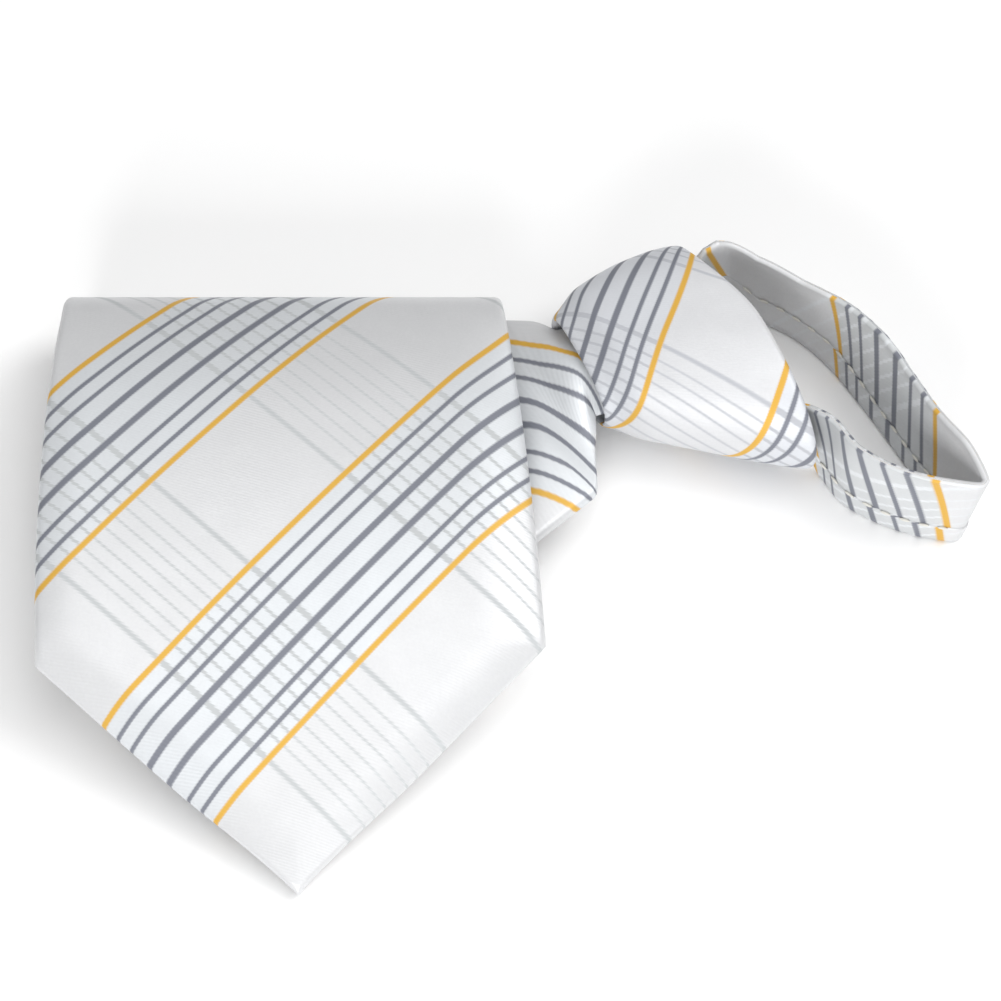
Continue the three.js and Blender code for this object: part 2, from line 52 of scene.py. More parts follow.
# The roll: the top layer rises from the tip and the others lie flat inside it
TOP_LENGTH = 112
CROWN_AIR = 7
LAYER_GAP = 0.6
INNER_SETBACK = 2.5
STRIP_SKEW = math.radians(2.3)
STRIP_DRIFT = 6
FRONT_SETBACK = 5
RIGHT_DROP, RIGHT_ROLL = 3, 11
LEFT_DROP, LEFT_ROLL = 1.2, 7
POINT_DROP, POINT_ROLL = 3, 8

# The neck: the stretch that leaves the roll under its right edge
NECK_HEADING = math.radians(38.4)
NECK_LENGTH = 65.7
NECK_BEND = 14
NECK_TURN = math.radians(19.9)
NECK_JOG = 3
GATHER_POWER = 1.8
NECK_ARCH = 4
# Beside the roll the neck puffs up this much, from this place on and over this width
NECK_PUFF = 2.4
PUFF_START, PUFF_RUN = 33, 9
# The puff is gone this far before the knot's mouth, and fades out over this length
PUFF_STOP, PUFF_FADE = 5, 10
TUCK = 8

# The knot
KNOT_HEADING = math.radians(26)
KNOT_LENGTH = 30
KNOT_SWING = 12
KNOT_MOUTH_WIDTH = 25
KNOT_TOP_WIDTH = 49
KNOT_TOP_HEIGHT = 26
KNOT_BULGE = 0.8
# The rim's far corner is drawn back this much, and this steeply across the far half
FAR_CUT, FAR_STEEPNESS = 4, 1.1
# The section is squarer on its far side than on its near side
FAR_POWER, NEAR_POWER = 3.6, 2.2
FIT = 0.4
NECK_FIT = 0.6
CORE_FIT = 0.8
MOUTH_FIT = 0.8

# The neck band
BAND_HEIGHT = 19.4
BAND_CLOTH = 2.8
BAND_TUCK_HEIGHT = 11
LOOP_HEADING = math.radians(-39)
LOOP_REACH = 49.2
LOOP_SPAN = 24
CREASE_RADIUS = 0.9
CREASE_TURN = math.radians(122)

# The zipper's tail, which lies under the neck
ZIPPER_CLOTH = 2.6


# Plan lines and levels

def heading(angle):
    return np.array([math.cos(angle), math.sin(angle)])


def smooth(value):
    value = np.clip(value, 0, 1)
    return value * value * (3 - 2 * value)


def mix(low, high, share):
    return low + (high - low) * share


# A bend that turns less than this in a millimetre is walked as a straight line
NO_TURN = 1e-9
# How often an interval is halved to find a value in it
HALVINGS = 50


def walk(start, bends, distance):
    """Places and headings at distances along a chain of evenly turning bends."""
    left = np.array(distance, float)
    x, y = np.full_like(left, start[0]), np.full_like(left, start[1])
    angle = np.full_like(left, bends[0][1])
    for index, (length, turn_from, turn_to) in enumerate(bends):
        step = left if index == len(bends) - 1 else np.minimum(left, length)
        curl = (turn_to - turn_from) / length
        if abs(curl) < NO_TURN:
            x = x + step * math.cos(turn_from)
            y = y + step * math.sin(turn_from)
        else:
            x = x + (np.sin(turn_from + curl * step) - math.sin(turn_from)) / curl
            y = y + (math.cos(turn_from) - np.cos(turn_from + curl * step)) / curl
        angle = np.where(step != 0, turn_from + curl * step, angle)
        left = left - step
    return x, y, angle


def solve(low, high, goal, measure):
    """The value between two ends at which a rising function reaches its goal."""
    for _ in range(HALVINGS):
        middle = (low + high) / 2
        if measure(middle) < goal:
            low = middle
        else:
            high = middle
    return (low + high) / 2


bottom_level = CLOTH / 2
fourth_level = bottom_level + CLOTH + LAYER_GAP
slant_radius = (CLOTH + ZIPPER_CLOTH + 2 * LAYER_GAP) / 2
neck_level = fourth_level + 2 * slant_radius
third_level = neck_level + CLOTH + LAYER_GAP
crest_level = third_level + CLOTH + CROWN_AIR
tip_start = (0, bottom_level + LAYER_GAP / 2)

# The top layer's slopes: share of its length, share of the slope at the tip
TOP_SLOPES = [(0.25, 0.9), (0.786, 0), (1, -0.79)]


def top_bends(tip_slope):
    bends, turn_from, at = [], tip_slope, 0
    for until, share in TOP_SLOPES:
        bends.append(((until - at) * TOP_LENGTH, turn_from, tip_slope * share))
        turn_from, at = tip_slope * share, until
    return bends


crest_at = TOP_SLOPES[1][0] * TOP_LENGTH
tip_slope = solve(0, PI / 2, crest_level, lambda slope: walk(tip_start, top_bends(slope), crest_at)[1])
top_chain = top_bends(tip_slope)
top_x, top_y, top_angle = (float(value) for value in walk(tip_start, top_chain, TOP_LENGTH))

outer_radius = (top_y - bottom_level) / (1 + math.cos(top_angle))
front_radius = (third_level - bottom_level) / 2
inner_radius = (third_level - fourth_level) / 2
outer_centre = top_x + outer_radius * math.sin(top_angle)
inner_centre = outer_centre - INNER_SETBACK


def room_under(along):
    _, y, angle = walk(tip_start, top_chain, along)
    return (y - bottom_level - front_radius) * math.cos(angle)


clear_at = solve(0, crest_at, front_radius + CLOTH + LAYER_GAP, room_under)
front_centre = float(walk(tip_start, top_chain, clear_at)[0]) + FRONT_SETBACK
roll_bends = [
    *top_chain,
    (outer_radius * (PI + top_angle), top_angle, -PI),
    (outer_centre - front_centre, -PI, -PI),
    (front_radius * PI, -PI, -2 * PI),
    (inner_centre - front_centre, -2 * PI, -2 * PI),
    (inner_radius * PI, -2 * PI, -3 * PI),
    (inner_centre - front_centre, -3 * PI, -3 * PI),
]
stops = np.cumsum([bend[0] for bend in roll_bends])
top_stop, outer_stop, bottom_stop, front_stop, third_stop, inner_stop = stops[2:8]


def taper_width(along):
    return BLADE_WIDTH / 2 - (along - POINT_LENGTH) * WIDTH_LOSS / 2


def point_width(along):
    return BLADE_WIDTH / 2 * along / POINT_LENGTH


def half_width(along):
    along = np.asarray(along, float)
    return np.where(along < POINT_LENGTH, point_width(along), taper_width(along))


layer_angle = -PI / 2 - STRIP_SKEW
slant_angle = (NECK_HEADING + layer_angle) / 2
slant_line = heading(slant_angle)
slant_normal = np.array([slant_line[1], -slant_line[0]])
slant_reach = float(half_width(inner_stop)) * abs(math.tan(slant_angle)) + LAYER_GAP
slant_along = (inner_stop + inner_centre - front_centre - slant_reach) / math.cos(STRIP_SKEW)
slant_point = np.array([STRIP_DRIFT - slant_along * math.sin(STRIP_SKEW), front_centre + slant_reach])
slant_length = PI * slant_radius / (heading(layer_angle) @ slant_normal)
neck_start = slant_along + slant_length
neck_origin = slant_point + slant_line * (heading(layer_angle) @ slant_line) * slant_length
neck_straight = NECK_LENGTH - NECK_BEND
neck_end = NECK_HEADING - NECK_TURN
neck_bends = [
    (neck_straight, NECK_HEADING, NECK_HEADING),
    (NECK_BEND, NECK_HEADING, neck_end),
    (TUCK, neck_end, neck_end),
]
bottom_middle = (outer_stop + bottom_stop) / 2
origin = np.array([-bottom_middle * math.tan(STRIP_SKEW), (outer_centre + front_centre) / 2])

mouth_hollow = KNOT_MOUTH_WIDTH / 2 - CLOTH
gathered_half = mouth_hollow - NECK_FIT
# Outside the mouth the neck is wider: half its width there, and where it draws in
SPREAD_HALF = 11.8
SPREAD_END, SPREAD_FALL = 0.6, 3
zipper_level = (fourth_level + neck_level) / 2
mouth_low = zipper_level - ZIPPER_CLOTH / 2
mouth_high = neck_level + NECK_ARCH + CLOTH / 2
mouth_level = (mouth_low + mouth_high) / 2
mouth_height = mouth_high - mouth_low + 2 * (MOUTH_FIT + CLOTH)


def hang(along, across):
    """How far the top layer's edges hang: its two sides, and the two edges of its point."""
    wide = np.abs(across)
    drop = np.where(across > 0, RIGHT_DROP, LEFT_DROP)
    roll = np.where(across > 0, RIGHT_ROLL, LEFT_ROLL)
    square = math.cos(math.atan2(BLADE_WIDTH / 2, POINT_LENGTH))
    side_over = np.maximum(0, 1 - (taper_width(along) - wide) / roll)
    point_over = np.maximum(0, 1 - (point_width(along) - wide) * square / POINT_ROLL)
    side_hang = drop * side_over**2 * smooth(along / POINT_LENGTH)
    side_hang = side_hang * smooth((top_stop - along) / (top_stop - crest_at))
    return np.maximum(side_hang, POINT_DROP * point_over**2 * smooth(along / (POINT_LENGTH / 2)))


def drift(round_):
    return STRIP_DRIFT * smooth((round_ - top_stop) / (bottom_stop - top_stop))


def gather_share(along):
    return smooth((along - neck_straight) / NECK_BEND) ** GATHER_POWER


def neck_point(along, across):
    x, y, angle = walk(neck_origin, neck_bends, along)
    gather = gather_share(along)
    wide = np.maximum(half_width(neck_start + along), 1)
    inside = smooth((along - (NECK_LENGTH - SPREAD_END - SPREAD_FALL)) / SPREAD_FALL)
    gathered = mix(SPREAD_HALF, gathered_half, inside)
    offset = across * mix(1, gathered / wide, gather) - NECK_JOG * gather
    side = x + np.sin(angle) * offset
    free = smooth((side - PUFF_START) / PUFF_RUN) * smooth((NECK_LENGTH - PUFF_STOP - along) / PUFF_FADE)
    arch = (NECK_ARCH * gather + NECK_PUFF * free) * np.maximum(0, 1 - (across / wide) ** 2)
    return np.stack([side, y - np.cos(angle) * offset, neck_level + arch], -1)


def strip_point(along, across):
    """Middle surface of the whole strip: along it from the tip, and across it."""
    along, across = np.asarray(along, float), np.asarray(across, float)
    round_ = across * math.sin(STRIP_SKEW) + along * math.cos(STRIP_SKEW)
    side = across * math.cos(STRIP_SKEW) - along * math.sin(STRIP_SKEW) + drift(round_)
    x, z, _ = walk(tip_start, roll_bends, round_)
    point = np.stack([side, x, z - np.where(round_ < top_stop, hang(along, across), 0)], -1)
    flat = point[..., :2] - slant_point
    ahead, beside = flat @ slant_normal, flat @ slant_line
    turn = np.clip(ahead / slant_radius, 0, PI)
    out = slant_radius * np.sin(turn)
    bent = slant_point + beside[..., None] * slant_line + out[..., None] * slant_normal
    level = fourth_level + slant_radius * (1 - np.cos(turn))
    folded = np.concatenate([bent, level[..., None]], -1)
    inner = (round_ > inner_stop)[..., None]
    past_fold = inner & (ahead > PI * slant_radius)[..., None]
    point = np.where(inner & (ahead > 0)[..., None], folded, point)
    point = np.where(past_fold, neck_point(along - neck_start, across), point)
    return point - [*origin, 0]


# The knot's frame
knot_axis = heading(KNOT_HEADING)
knot_side = heading(KNOT_HEADING - PI / 2)
mouth_x, mouth_y, mouth_angle = (float(value) for value in walk(neck_origin, neck_bends, NECK_LENGTH))
mouth_place = np.array([mouth_x, mouth_y]) - origin - NECK_JOG * heading(mouth_angle - PI / 2)
knot_top = mouth_place + KNOT_LENGTH * knot_axis + KNOT_SWING * knot_side

# The knot's sections from mouth to rim: at, and shares of the change in width, height and swing
KNOT_SECTIONS = np.array([
    (0, 0, 0, 0),
    (0.08, 0.09, 0.16, 0.05),
    (0.25, 0.31, 0.46, 0.19),
    (0.45, 0.54, 0.72, 0.38),
    (0.7, 0.79, 0.93, 0.66),
    (0.9, 0.95, 1, 0.89),
    (1, 1, 0.99, 1),
])
# A section is evened out with those at these shares of the length from it
SECTION_SHIFTS = (-0.06, -0.03, 0, 0.03, 0.06)


def knot_section(at):
    """Half width, half height, level and swing of the knot at shares of its length."""
    wide, tall, swing = (np.interp(at, KNOT_SECTIONS[:, 0], KNOT_SECTIONS[:, k]) for k in (1, 2, 3))
    half_tall = mix(mouth_height, KNOT_TOP_HEIGHT, tall) / 2
    level = mix(mouth_level, KNOT_TOP_HEIGHT / 2, tall)
    return mix(KNOT_MOUTH_WIDTH, KNOT_TOP_WIDTH, wide) / 2, half_tall, level, KNOT_SWING * swing


def oval_reach(cos, sin, power):
    """How far a squarish oval reaches, in the direction of a cosine and a sine."""
    return (np.abs(cos) ** power + np.abs(sin) ** power) ** (-1 / power)


def knot_point(at, angle, inset):
    """A point of the knot's skin: share of its length, angle round it, and depth."""
    near = [knot_section(np.clip(at + shift, 0, 1)) for shift in SECTION_SHIFTS]
    half_wide, half_tall, level, swing = (sum(values) / len(near) for values in zip(*near))
    cos, sin = np.cos(angle), np.sin(angle)
    reach = oval_reach(cos, sin, np.where(cos > 0, NEAR_POWER, FAR_POWER))
    across = (half_wide - inset) * cos * reach
    up = (half_tall - inset) * sin * reach
    far = np.clip(-across / half_wide, 0, 1)
    bulge = KNOT_BULGE * at**2 * (1 - (across / half_wide) ** 2)
    ahead = at * KNOT_LENGTH + bulge - FAR_CUT * at**3 * smooth(FAR_STEEPNESS * far)
    plan = mouth_place + ahead[..., None] * knot_axis + (across + swing)[..., None] * knot_side
    return np.concatenate([plan, (level + up)[..., None]], -1)


# Where the band's limbs lie at the knot: shares of the tuck's length and of the hollow's half width,
# and how far the band is tucked
FAR_ROOT = [(-1.15, -0.89, 1), (-0.5, -0.89, 1), (0.15, -0.9, 1), (0.5, -0.91, 0.85)]
NEAR_ROOT = [(0.5, 1.02, 0), (0.3, 0.82, 0.7), (-0.1, 0.68, 1), (-0.5, 0.62, 1), (-1.15, 0.6, 1)]

# The band's limbs outside the knot, as shares of the loop's reach and span
FAR_LIMB = [(-0.2, 0.61), (-0.05, 0.67), (0.12, 0.635), (0.38, 0.47), (0.64, 0.275), (0.86, 0.145)]
NEAR_LIMB = [(0.88, -0.115), (0.8, -0.19), (0.68, -0.262), (0.54, -0.29)]


def root_reach(half_wide):
    return half_wide - CLOTH - FIT - BAND_CLOTH / 2


def rounded_line(points, steps):
    """A smooth line through points, with the spacing of its points allowed for."""
    points = np.array(points, float)
    ends = np.vstack([2 * points[0] - points[1], points, 2 * points[-1] - points[-2]])
    share = np.linspace(0, 1, steps, endpoint=False)[:, None]
    line = []
    for before, low, high, after in zip(ends, ends[1:], ends[2:], ends[3:]):
        d0, d1, d2 = (np.sqrt(np.linalg.norm(b - a)) for a, b in ((before, low), (low, high), (high, after)))
        t1 = ((low - before) / d0 - (high - before) / (d0 + d1) + (high - low) / d1) * d1
        t2 = ((high - low) / d1 - (after - low) / (d1 + d2) + (after - high) / d2) * d1
        line.append(low + t1 * share + (3 * (high - low) - 2 * t1 - t2) * share**2
                    + (2 * (low - high) + t1 + t2) * share**3)
    return np.vstack([*line, points[-1:]])


def band_path(steps):
    """The band's middle line in plan, with how far it is tucked as its third number."""
    out, side = heading(LOOP_HEADING), heading(LOOP_HEADING + PI / 2)

    def from_knot(ahead, across, tuck):
        at = 1 + ahead * TUCK / KNOT_LENGTH
        half_wide, _, _, swing = knot_section(min(1, at))
        beside = swing + across * root_reach(half_wide)
        return [*(mouth_place + at * KNOT_LENGTH * knot_axis + beside * knot_side), tuck]

    def from_loop(ahead, beside):
        return [*(knot_top + ahead * out + beside * side), 0]

    crease_out = LOOP_REACH - BAND_CLOTH / 2 - CREASE_RADIUS
    spokes = [heading(share * CREASE_TURN) * CREASE_RADIUS for share in (0.5, 0.25, 0, -0.25, -0.5)]
    return rounded_line([
        *(from_knot(*row) for row in FAR_ROOT),
        *(from_loop(ahead * LOOP_REACH, beside * LOOP_SPAN) for ahead, beside in FAR_LIMB),
        *(from_loop(crease_out + ahead, beside) for ahead, beside in spokes),
        *(from_loop(ahead * LOOP_REACH, beside * LOOP_SPAN) for ahead, beside in NEAR_LIMB),
        *(from_knot(*row) for row in NEAR_ROOT),
    ], steps)


# How far the band leans, at lengths along it: out of the loop, and with the crease
BAND_LEAN = np.array([
    (0, 0, 0), (6, 0, 0), (9, 2, 0), (12, 1.4, 0), (17, 0, 0), (22, -0.4, 0), (29, 0, 0), (38, 2.6, 0),
    (49, 3.6, 0), (58, 3.2, 0), (66, 2.2, 0.8), (74, 1, 3), (78, 0, 4.1), (82, 0, 3.6), (90, 0, 1),
    (98, -0.2, 0), (102, -0.7, 0), (107, -1.2, 0), (113, 0, 0), (130, 0, 0),
])
# The lean is evened out with that at these lengths before and after
LEAN_SHIFTS = (-3, -1, 1, 3)
# How much taller the band stands at lengths along it, most of all where it comes out of the knot
BAND_RISE = np.array([
    (0, 0), (4, 1), (8, 5), (11, 5.6), (13, 4.1), (15.5, 2.6), (18.5, 0.8), (23, 0), (28, -0.8),
    (36, -0.4), (46, 0.4), (54, -0.2), (65, 0.3), (72, 1), (80, 0), (130, 0),
])


def band_lean(along, column):
    near = [np.interp(along + shift, BAND_LEAN[:, 0], BAND_LEAN[:, column]) for shift in LEAN_SHIFTS]
    return sum(near) / len(near)


# Making cloth pieces

# Points closer than this are joined, in metres
JOIN_REACH = 0.00001


def bent_grid(rows, columns, place, flat):
    """A grid of rows and columns set in place by their shares, with fabric coordinates."""
    mesh = bmesh.new()
    bmesh.ops.create_grid(mesh, x_segments=rows, y_segments=columns, size=0.5)
    share = np.array([vert.co[:2] for vert in mesh.verts]) + 0.5
    spots = place(share[:, 0], share[:, 1]) * MM
    cloth = flat(share[:, 0], share[:, 1]) * MM
    fabric = mesh.loops.layers.uv.new("fabric")
    mesh.verts.ensure_lookup_table()
    for face in mesh.faces:
        face.smooth = True
        for loop in face.loops:
            loop[fabric].uv = cloth[loop.vert.index]
    for vert in mesh.verts:
        vert.co = spots[vert.index]
    return mesh


def close_up(mesh):
    """Closes a bent grid along its seam and over its open ends."""
    bmesh.ops.remove_doubles(mesh, verts=mesh.verts, dist=JOIN_REACH)
    bmesh.ops.dissolve_degenerate(mesh, edges=mesh.edges, dist=JOIN_REACH)
    bmesh.ops.holes_fill(mesh, edges=[edge for edge in mesh.edges if edge.is_boundary], sides=0)
    bmesh.ops.recalc_face_normals(mesh, faces=mesh.faces)


def finish_piece(name, mesh, material, node):
    """Turns a mesh under way into a piece that rides on the tie and stands for its node."""
    data = bpy.data.meshes.new(name)
    mesh.to_mesh(data)
    mesh.free()
    piece = bpy.data.objects.new(name, data)
    bpy.context.scene.collection.objects.link(piece)
    data.materials.append(material)
    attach(piece, "root")
    if node:
        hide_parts(node)
    return piece


def pick(share, table):
    """The rows of a table that evenly spaced shares stand for."""
    return table[np.rint(share * (len(table) - 1)).astype(int)]


def outward(place, first, second, step):
    """Unit normals of a surface that is placed by two coordinates."""
    ahead = place(first + step, second) - place(first - step, second)
    beside = place(first, second + step) - place(first, second - step)
    normal = np.cross(beside, ahead)
    return normal / np.linalg.norm(normal, axis=-1, keepdims=True)


def cut_from(rising, falling):
    """Fabric coordinates of a point, by its distances across the rising and the falling stripes."""
    past = RISING_START + rising
    return np.stack([past + falling, falling - past], -1) / math.sqrt(2)


def spread(low, high, count):
    return list(np.linspace(low, high, count + 1)[1:])


# The camera looks down on the tie from the front
PHOTO_ELEVATION = math.radians(58)
PHOTO_DISTANCE = 0.9
PHOTO_AIM = (0.04146, 0.0054, 0)
PHOTO_LENS = 179.39
SENSOR_WIDTH = 36

camera_data = bpy.data.cameras.new("photo camera")
camera_data.lens = PHOTO_LENS
camera_data.sensor_width = SENSOR_WIDTH
camera = bpy.data.objects.new("photo camera", camera_data)
camera.location = (
    PHOTO_AIM[0],
    PHOTO_AIM[1] - PHOTO_DISTANCE * math.cos(PHOTO_ELEVATION),
    PHOTO_DISTANCE * math.sin(PHOTO_ELEVATION),
)
camera.rotation_euler = (PI / 2 - PHOTO_ELEVATION, 0, 0)
bpy.context.scene.collection.objects.link(camera)
bpy.context.scene.camera = camera


# Finishes

# Stripes rising to the right: place after the group's start, width, and colour
YELLOW = (0.66, 0.385, 0.06, 1)
SLATE = (0.19, 0.2, 0.235, 1)
RISING_PERIOD = 49.3
RISING_START = 19.7
RISING = [
    (0, 1.05, YELLOW), (3.1, 0.8, SLATE), (6.2, 0.8, SLATE), (10.7, 1.2, SLATE),
    (15.2, 1.2, SLATE), (19.3, 0.8, SLATE), (22.4, 0.8, SLATE), (25.7, 1.05, YELLOW),
]
# Stripes falling to the right: place after the group's start, and width
FALLING_PERIOD = 46.8
FALLING_START = 13.4
FALLING = [
    (0, 1.1), (3.6, 0.5), (6.0, 0.5), (8.6, 0.5), (11.3, 0.5),
    (13.9, 0.5), (16.4, 0.5), (19.1, 0.5), (23.0, 1.1),
]
# A falling line wider than this has a flat top
THICK_LINE = 1
# A ramp starts this far before its first stripe
RAMP_LEAD = 2.0
# How softly a stripe ends, and the ground between a group's first and last stripe
STRIPE_SOFTNESS = 0.12
GROUP_SOFTNESS = 0.4
# The falling lines are this much stronger on a group's ground
GROUP_STRENGTHENING = 0.9
# The weave's ribs, and how far they step the edges of rising stripes and falling lines
RIB_PITCH = 0.55
RIB_LEAN = 0.35
RISING_JAG, FALLING_JAG = 0.03, 0.12
# How fine the satin's slubs and grain are, and how much they wear it to this shade
SLUB_SCALE, GRAIN_SCALE, GRAIN_DETAIL = 180, 1700, 3
WEAR = 0.2
WORN_SHADE = (0.62, 0.62, 0.63)
# How much rougher the satin is on its matte lines, its coloured stripes and its slubs
MATTE_ROUGHER, STRIPE_ROUGHER, SLUB_ROUGHER = 0.3, 0.08, 0.06
# The satin's shine, and the height of its ribs against its grain
SATIN_METALLIC, SATIN_SHEEN, SHEEN_ROUGHNESS = 0.25, 0.12, 0.4
RIB_HEIGHT, SATIN_RELIEF, SATIN_DEPTH = 0.3, 0.25, 0.08
# The hidden tape: its grain, how that roughens and darkens it, and its relief
TAPE_GRAIN, TAPE_ROUGHNESS, TAPE_ROUGHER = 900, 0.6, 0.1
TAPE_SHADE = (0.88, 0.88, 0.9)
TAPE_RELIEF, TAPE_DEPTH = 0.4, 0.1
# The thread of the stitches, likewise
THREAD_GRAIN, THREAD_ROUGHNESS, THREAD_ROUGHER = 2500, 0.5, 0.2
THREAD_SHADE = (0.85, 0.84, 0.8)
THREAD_RELIEF, THREAD_DEPTH = 0.3, 0.05
WHITE = (1, 1, 1, 1)
BLACK = (0, 0, 0, 1)


def tint(color, factors):
    return (*(value * factor for value, factor in zip(color, factors)), 1)


class Board:
    """A material's node tree, with short ways to add and join its nodes."""

    def __init__(self, name):
        self.material = bpy.data.materials.new(name)
        self.material.use_nodes = True
        self.tree = self.material.node_tree
        self.shader = self.tree.nodes["Principled BSDF"]

    def add(self, kind, **settings):
        node = self.tree.nodes.new(kind)
        for key, value in settings.items():
            setattr(node, key, value)
        return node

    def put(self, socket, value):
        if isinstance(value, bpy.types.NodeSocket):
            self.tree.links.new(value, socket)
        elif value is not None:
            socket.default_value = value

    def math(self, operation, a, b=None, c=None):
        node = self.add("ShaderNodeMath", operation=operation)
        for socket, value in zip(node.inputs, (a, b, c)):
            self.put(socket, value)
        return node.outputs[0]

    def blend(self, share, low, high):
        node = self.add("ShaderNodeMix", data_type="RGBA")
        self.put(node.inputs["Factor"], share)
        self.put(node.inputs[6], low)
        self.put(node.inputs[7], high)
        return node.outputs[2]

    def noise(self, vector, scale, detail=2):
        node = self.add("ShaderNodeTexNoise")
        node.inputs["Scale"].default_value = scale
        node.inputs["Detail"].default_value = detail
        self.put(node.inputs["Vector"], vector)
        return node.outputs[0]

    def ramp(self, share, stops):
        node = self.add("ShaderNodeValToRGB")
        self.put(node.inputs[0], share)
        elements = node.color_ramp.elements
        elements[0].position, elements[0].color = stops[0]
        elements[1].position, elements[1].color = stops[-1]
        for place, color in stops[1:-1]:
            elements.new(place).color = color
        return node

    def relief(self, height, strength, depth):
        bump = self.add("ShaderNodeBump")
        bump.inputs["Strength"].default_value = strength
        bump.inputs["Distance"].default_value = depth
        self.put(bump.inputs["Height"], height)
        self.put(self.shader.inputs["Normal"], bump.outputs[0])


def rising_stops(widening):
    """Ramp stops for the rising stripes, each with soft edges on a clear ground."""
    stops = []
    for at, plain_width, color in RISING:
        width = plain_width * widening
        clear = (*color[:3], 0)
        for reach, shade in ((-width / 2 - STRIPE_SOFTNESS, clear), (-width / 2 + STRIPE_SOFTNESS, color),
                             (width / 2 - STRIPE_SOFTNESS, color), (width / 2 + STRIPE_SOFTNESS, clear)):
            stops.append(((RAMP_LEAD + at + reach) / RISING_PERIOD, shade))
    return stops


def falling_stops(widening):
    """Ramp stops for the falling lines: thick ones are bars and thin ones are peaks."""
    stops = []
    for at, plain_width in FALLING:
        width = plain_width * widening
        middle = (RAMP_LEAD + at) / FALLING_PERIOD
        reach = (width / 2 + STRIPE_SOFTNESS) / FALLING_PERIOD
        peaks = [middle - reach / 3, middle + reach / 3] if plain_width > THICK_LINE else [middle]
        stops += [(middle - reach, BLACK), *((peak, WHITE) for peak in peaks), (middle + reach, BLACK)]
    return stops


def group_stops():
    """Ramp stops for the ground between the first and the last stripe of a group."""
    last = RAMP_LEAD + RISING[-1][0]
    edges = (
        (0, BLACK), (RAMP_LEAD, BLACK), (RAMP_LEAD + GROUP_SOFTNESS, WHITE),
        (last - GROUP_SOFTNESS, WHITE), (last, BLACK), (RISING_PERIOD, BLACK),
    )
    return [(at / RISING_PERIOD, shade) for at, shade in edges]


def plaid_satin(name, ground, roughness, line_shade, group_shade, widening=1.0, jag=FALLING_JAG):
    """White satin with slate and yellow stripes one way and matte lines the other."""
    board = Board(name)
    cloth = board.add("ShaderNodeUVMap", uv_map="fabric").outputs[0]
    split = board.add("ShaderNodeSeparateXYZ")
    board.put(split.inputs[0], cloth)
    along, across = split.outputs[0], split.outputs[1]
    diagonal = 1 / math.sqrt(2) / MM
    rising = board.math("MULTIPLY", board.math("SUBTRACT", along, across), diagonal)
    falling = board.math("MULTIPLY", board.math("ADD", along, across), diagonal)
    twill = board.math("MULTIPLY_ADD", across, RIB_LEAN, along)
    rib = board.math("SINE", board.math("MULTIPLY", twill, 2 * PI / RIB_PITCH / MM))

    def turns(distance, stepping, start, period):
        shifted = board.math("ADD", board.math("MULTIPLY_ADD", rib, stepping, distance), RAMP_LEAD - start)
        return board.math("FRACT", board.math("DIVIDE", shifted, period))

    rising_turns = turns(rising, RISING_JAG, RISING_START, RISING_PERIOD)
    bars = board.ramp(rising_turns, rising_stops(widening))
    group = board.ramp(rising_turns, group_stops()).outputs[0]
    falling_turns = turns(falling, jag, FALLING_START, FALLING_PERIOD)
    lines = board.ramp(falling_turns, falling_stops(widening)).outputs[0]
    stronger = board.math("MULTIPLY", lines, board.math("MULTIPLY_ADD", group, GROUP_STRENGTHENING, 1.0))
    capped = board.math("MINIMUM", stronger, 1.0)
    matte = board.math("MULTIPLY", capped, board.math("SUBTRACT", 1.0, bars.outputs[1]))
    slub = board.noise(cloth, SLUB_SCALE)
    grain = board.noise(cloth, GRAIN_SCALE, GRAIN_DETAIL)
    tinted = board.blend(group, ground, tint(ground, group_shade))
    lined = board.blend(matte, tinted, tint(ground, line_shade))
    speck = board.math("MULTIPLY", board.math("ADD", slub, grain), WEAR)
    worn = board.blend(speck, lined, tint(ground, WORN_SHADE))
    board.put(board.shader.inputs["Base Color"], board.blend(bars.outputs[1], worn, bars.outputs[0]))
    rough = board.math("MULTIPLY_ADD", matte, MATTE_ROUGHER, roughness)
    rough = board.math("MULTIPLY_ADD", bars.outputs[1], STRIPE_ROUGHER, rough)
    board.put(board.shader.inputs["Roughness"], board.math("MULTIPLY_ADD", slub, SLUB_ROUGHER, rough))
    board.shader.inputs["Metallic"].default_value = SATIN_METALLIC
    board.shader.inputs["Sheen Weight"].default_value = SATIN_SHEEN
    board.shader.inputs["Sheen Roughness"].default_value = SHEEN_ROUGHNESS
    board.relief(board.math("MULTIPLY_ADD", rib, RIB_HEIGHT, grain), SATIN_RELIEF, SATIN_DEPTH * MM)
    return board.material


def plain_weave(name, ground, pitch):
    """Plain cloth whose ribs run across X and Y, for what lies hidden in the tie."""
    board = Board(name)
    place = board.add("ShaderNodeTexCoord").outputs["Object"]
    split = board.add("ShaderNodeSeparateXYZ")
    board.put(split.inputs[0], place)
    ribs = [board.math("SINE", board.math("MULTIPLY", split.outputs[k], 2 * PI / pitch / MM)) for k in (0, 1)]
    weave = board.math("MULTIPLY", *ribs)
    grain = board.noise(place, TAPE_GRAIN)
    board.put(board.shader.inputs["Base Color"], board.blend(grain, ground, tint(ground, TAPE_SHADE)))
    rough = board.math("MULTIPLY_ADD", grain, TAPE_ROUGHER, TAPE_ROUGHNESS)
    board.put(board.shader.inputs["Roughness"], rough)
    board.relief(board.math("ADD", weave, grain), TAPE_RELIEF, TAPE_DEPTH * MM)
    return board.material


